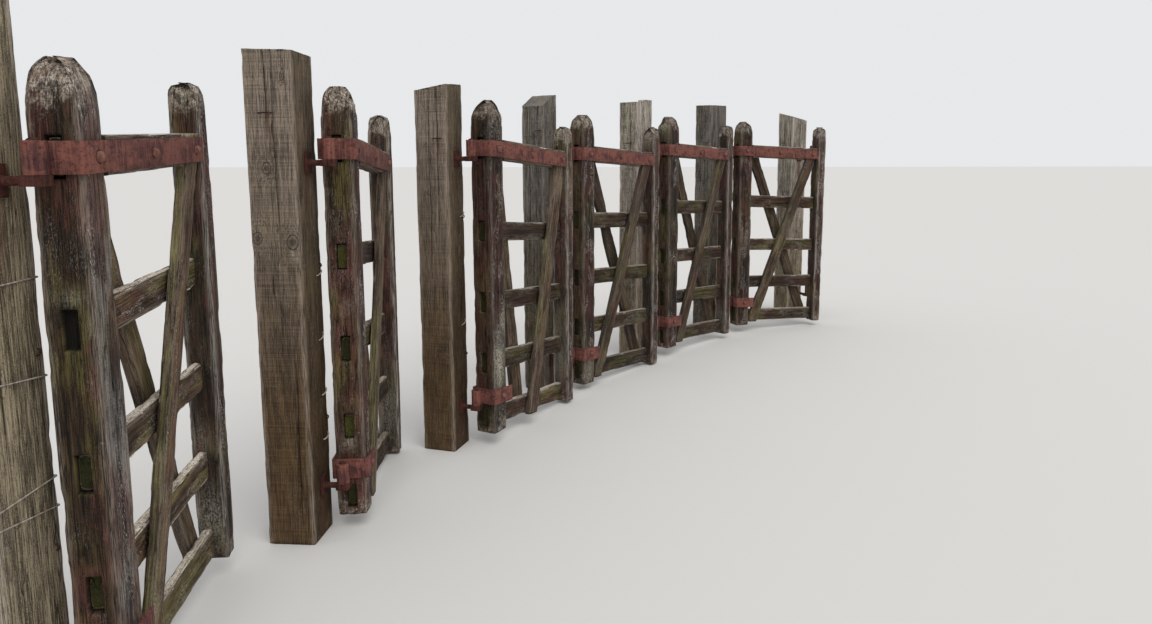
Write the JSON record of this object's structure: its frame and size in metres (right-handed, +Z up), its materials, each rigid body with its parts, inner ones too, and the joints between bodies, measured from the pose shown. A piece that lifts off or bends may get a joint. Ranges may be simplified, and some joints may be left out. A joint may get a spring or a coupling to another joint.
{
  "type": "row of post-hung timber gates",
  "caption": "Curved row of narrow timber gates, each tenoned and cross-braced and hung by an iron strap on hooks in the front of its own square post, swinging both ways.",
  "frame": {"origin": "middle of the underside of the first post, at ground level", "axes": "+Z up; +X runs along the row, square to the first post's side; -Y is the front, where the hinges are"},
  "size_m": [5.9009, 2.6407, 1.8424],
  "materials": {
    "post_timber": "sawn, weathered grey-brown",
    "gate_timber": "old dark timber with lichen, algae and worn grey heads",
    "strap_iron": "matt red-oxide rust",
    "hook_iron": "matt red-oxide rust"
  },
  "bodies": {
    "posts": {"post_1": "post_timber", "post_2": "post_timber", "post_3": "post_timber", "post_4": "post_timber", "post_5": "post_timber", "post_6": "post_timber", "post_7": "post_timber", "hooks_1": "hook_iron", "hooks_2": "hook_iron", "hooks_3": "hook_iron", "hooks_4": "hook_iron", "hooks_5": "hook_iron", "hooks_6": "hook_iron", "hooks_7": "hook_iron"},
    "gate_1": {"hanging_stile_1": "gate_timber", "closing_stile_1": "gate_timber", "rails_1": "gate_timber", "braces_1": "gate_timber", "irons_1": "strap_iron"},
    "gate_2": {"hanging_stile_2": "gate_timber", "closing_stile_2": "gate_timber", "rails_2": "gate_timber", "braces_2": "gate_timber", "irons_2": "strap_iron"},
    "gate_3": {"hanging_stile_3": "gate_timber", "closing_stile_3": "gate_timber", "rails_3": "gate_timber", "braces_3": "gate_timber", "irons_3": "strap_iron"},
    "gate_4": {"hanging_stile_4": "gate_timber", "closing_stile_4": "gate_timber", "rails_4": "gate_timber", "braces_4": "gate_timber", "irons_4": "strap_iron"},
    "gate_5": {"hanging_stile_5": "gate_timber", "closing_stile_5": "gate_timber", "rails_5": "gate_timber", "braces_5": "gate_timber", "irons_5": "strap_iron"},
    "gate_6": {"hanging_stile_6": "gate_timber", "closing_stile_6": "gate_timber", "rails_6": "gate_timber", "braces_6": "gate_timber", "irons_6": "strap_iron"}
  },
  "joints": [
    {"name": "gate_1_swing", "type": "hinge", "parent": "posts", "child": "gate_1", "pos_m": [0, -0.1935, 1.43], "axis": [0, 0, -1], "range_deg": [-7, 112]},
    {"name": "gate_2_swing", "type": "hinge", "parent": "posts", "child": "gate_2", "pos_m": [1.1247, -0.2919, 1.457], "axis": [0, 0, -1], "range_deg": [-2, 118]},
    {"name": "gate_3_swing", "type": "hinge", "parent": "posts", "child": "gate_3", "pos_m": [2.05619, -0.52414, 1.466], "axis": [0, 0, -1], "range_deg": [-25, 88]},
    {"name": "gate_4_swing", "type": "hinge", "parent": "posts", "child": "gate_4", "pos_m": [3.03764, -0.80557, 1.44], "axis": [0, 0, -1], "range_deg": [-34, 88]},
    {"name": "gate_5_swing", "type": "hinge", "parent": "posts", "child": "gate_5", "pos_m": [3.92953, -1.26001, 1.465], "axis": [0, 0, -1], "range_deg": [-23, 87]},
    {"name": "gate_6_swing", "type": "hinge", "parent": "posts", "child": "gate_6", "pos_m": [4.82241, -1.77551, 1.46], "axis": [0, 0, -1], "range_deg": [-38, 76]}
  ]
}
